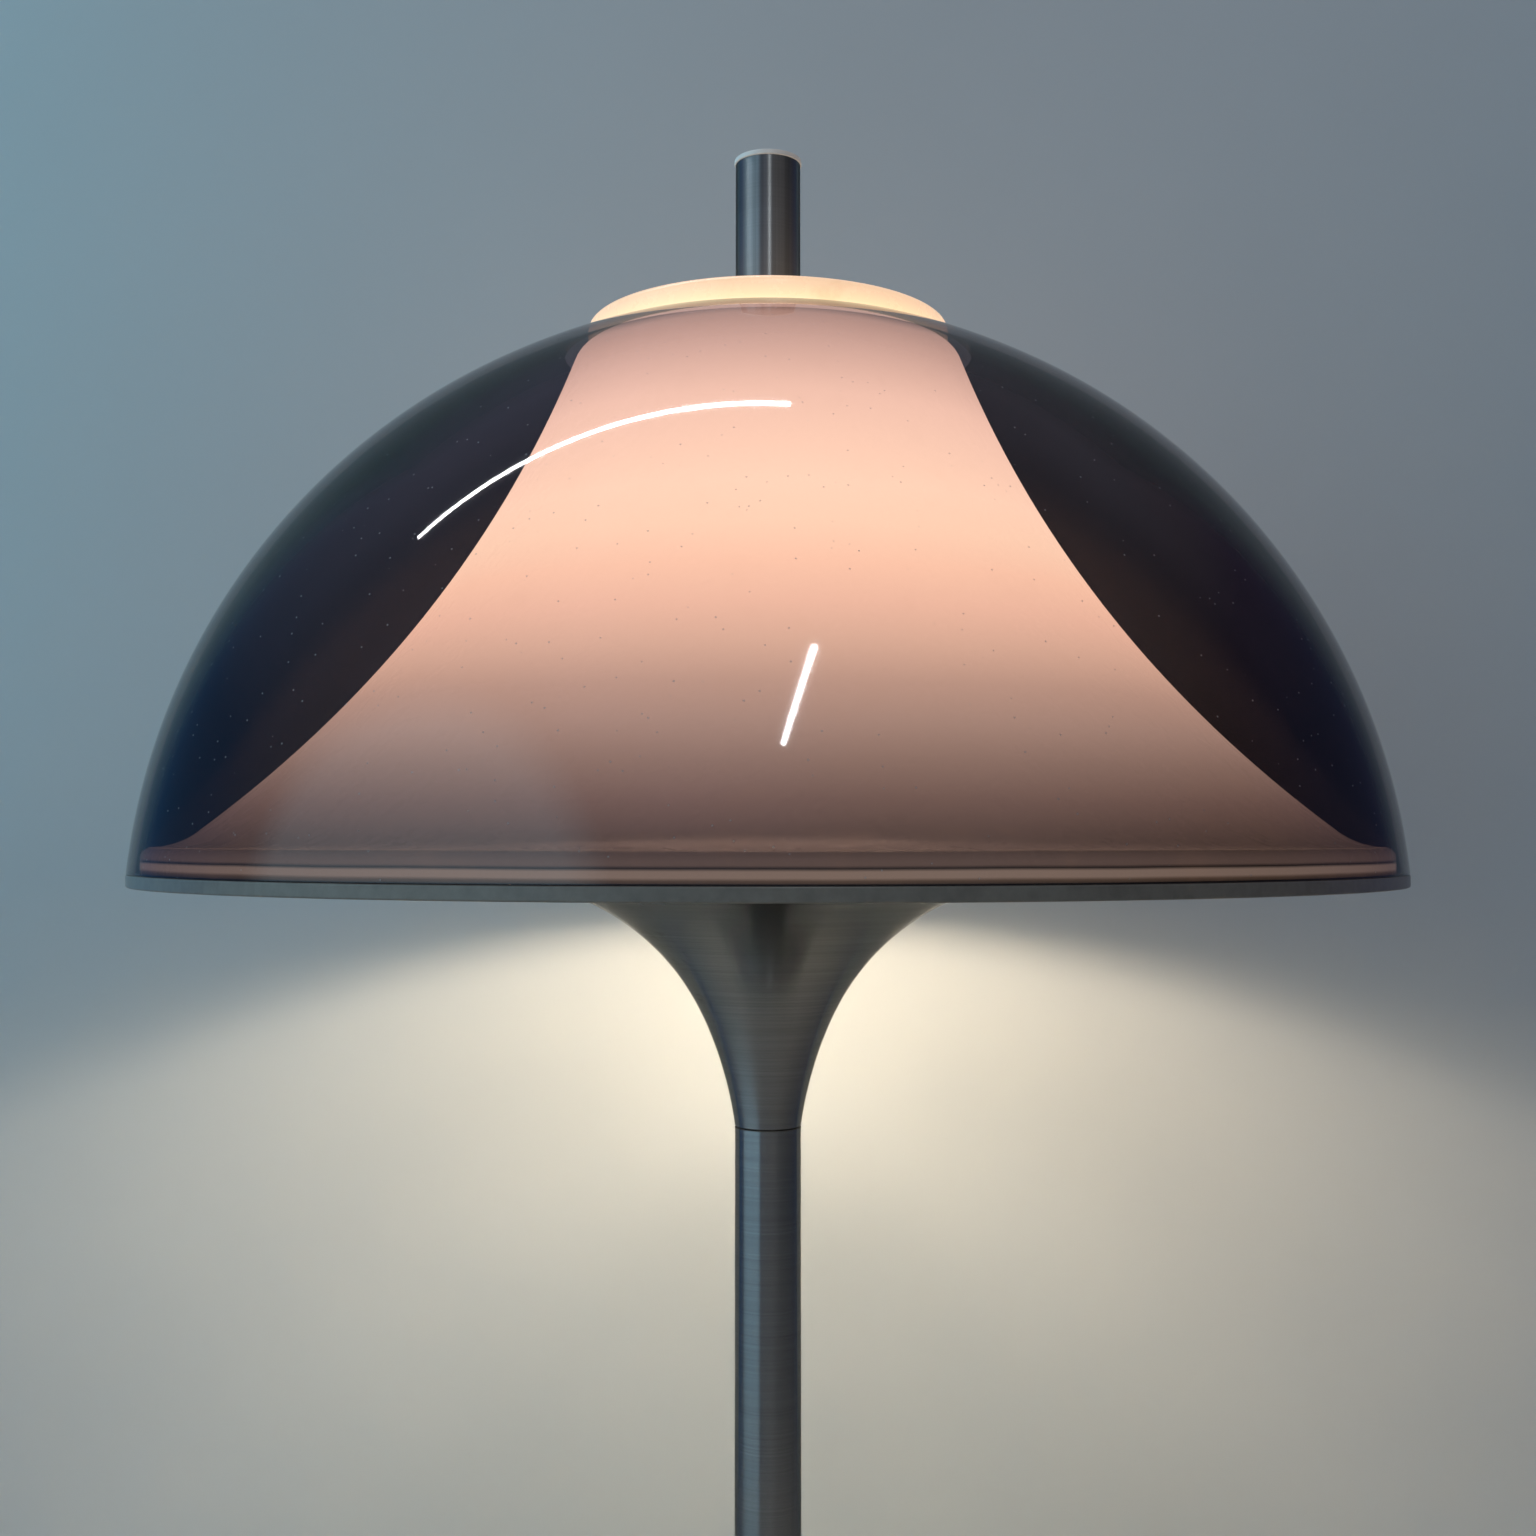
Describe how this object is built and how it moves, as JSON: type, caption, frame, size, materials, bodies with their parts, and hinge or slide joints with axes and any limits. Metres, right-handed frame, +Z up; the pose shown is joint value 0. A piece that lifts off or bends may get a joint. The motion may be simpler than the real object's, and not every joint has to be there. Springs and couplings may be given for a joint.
{
  "type": "table lamp",
  "caption": "Mushroom table lamp: smoked dome over a lit opal bell with a lid and finial, on a trumpet head, slim stem and flared foot.",
  "frame": {"origin": "centre of the felt's underside, on the table", "axes": "+Z up along the stem, -Y to the front, +Y to the cord inlet at the back"},
  "size_m": [0.46, 0.4598, 0.6728],
  "materials": {
    "brushed_aluminium": "brushed round the axis, satin",
    "turned_aluminium": "turned, plain",
    "smoked_acrylic": "polished, see-through purple-brown",
    "opal_acrylic": "opal, satin, lit from inside",
    "white_plastic": "moulded, satin",
    "felt": "pressed felt",
    "zinc_steel": "zinc plated",
    "cast_iron": "as cast",
    "rubber": "matt",
    "nylon": "moulded",
    "brass": "bright",
    "nickel_cap": "nickel plated",
    "bakelite": "moulded, gloss",
    "opal_glass": "opal coated inside",
    "white_paint": "white enamel",
    "pvc_flex": "smooth sheath"
  },
  "bodies": {
    "root": {"felt_pad": "felt", "base_plate": "zinc_steel", "base_plate_screws": "zinc_steel", "ballast": "cast_iron", "foot_shell": "brushed_aluminium", "cord_grommet": "rubber", "base_terminal_block": "nylon", "base_terminal_barrels": "brass", "terminal_screws": "zinc_steel", "stem_lower_bush": "turned_aluminium", "stem_tube": "brushed_aluminium", "stem_upper_bush": "turned_aluminium", "tie_rod": "zinc_steel", "rod_nuts": "zinc_steel", "rod_washers": "zinc_steel", "head_trumpet": "brushed_aluminium", "holder_plate": "white_paint", "head_terminal_block": "nylon", "head_terminal_barrels": "brass", "riser_flex": "pvc_flex", "holder_nipples": "zinc_steel", "holder_nuts": "zinc_steel", "shade_spider": "white_paint", "holder_lead_1": "pvc_flex", "lampholder_body_1": "bakelite", "lampholder_shell_1": "brass", "lampholder_contact_1": "brass", "holder_lead_2": "pvc_flex", "lampholder_body_2": "bakelite", "lampholder_shell_2": "brass", "lampholder_contact_2": "brass", "holder_lead_3": "pvc_flex", "lampholder_body_3": "bakelite", "lampholder_shell_3": "brass", "lampholder_contact_3": "brass"},
    "bulb_1": {"bulb_glass_1": "opal_glass", "bulb_cap_1": "nickel_cap"},
    "bulb_2": {"bulb_glass_2": "opal_glass", "bulb_cap_2": "nickel_cap"},
    "bulb_3": {"bulb_glass_3": "opal_glass", "bulb_cap_3": "nickel_cap"},
    "bell": {"opal_diffuser": "opal_acrylic"},
    "dome": {"smoked_dome": "smoked_acrylic"},
    "lid": {"top_cap": "opal_acrylic"},
    "finial_collar": {"finial_washer": "zinc_steel"},
    "finial": {"finial_bush": "brass", "finial_tube": "brushed_aluminium", "finial_cap": "white_plastic"}
  },
  "joints": [
    {"name": "bell_lift", "type": "slide", "parent": "root", "child": "bell", "axis": [0, 0, 1], "range_m": [0, 0.24]},
    {"name": "dome_lift", "type": "slide", "parent": "bell", "child": "dome", "axis": [0, 0, 1], "range_m": [0, 0.29]},
    {"name": "lid_lift", "type": "slide", "parent": "bell", "child": "lid", "axis": [0, 0, 1], "range_m": [0, 0.05]},
    {"name": "finial_rise", "type": "slide", "parent": "lid", "child": "finial_collar", "axis": [0, 0, 1], "range_m": [0, 0.012]},
    {"name": "finial_turn", "type": "hinge", "parent": "finial_collar", "child": "finial", "pos_m": [0, 0, 0.6388], "axis": [0, 0, 1], "range_deg": [0, 4320]},
    {"name": "bulb_1_turn", "type": "hinge", "parent": "root", "child": "bulb_1", "pos_m": [0, 0.045, 0.4353], "axis": [0, 0, 1], "range_deg": [0, 1800]},
    {"name": "bulb_2_turn", "type": "hinge", "parent": "root", "child": "bulb_2", "pos_m": [-0.03897, -0.0225, 0.4353], "axis": [0, 0, 1], "range_deg": [0, 1800]},
    {"name": "bulb_3_turn", "type": "hinge", "parent": "root", "child": "bulb_3", "pos_m": [0.03897, -0.0225, 0.4353], "axis": [0, 0, 1], "range_deg": [0, 1800]}
  ],
  "couplings": [
    {"joint": "finial_rise", "follows": "finial_turn", "m_per_rad": 0.00015915}
  ]
}
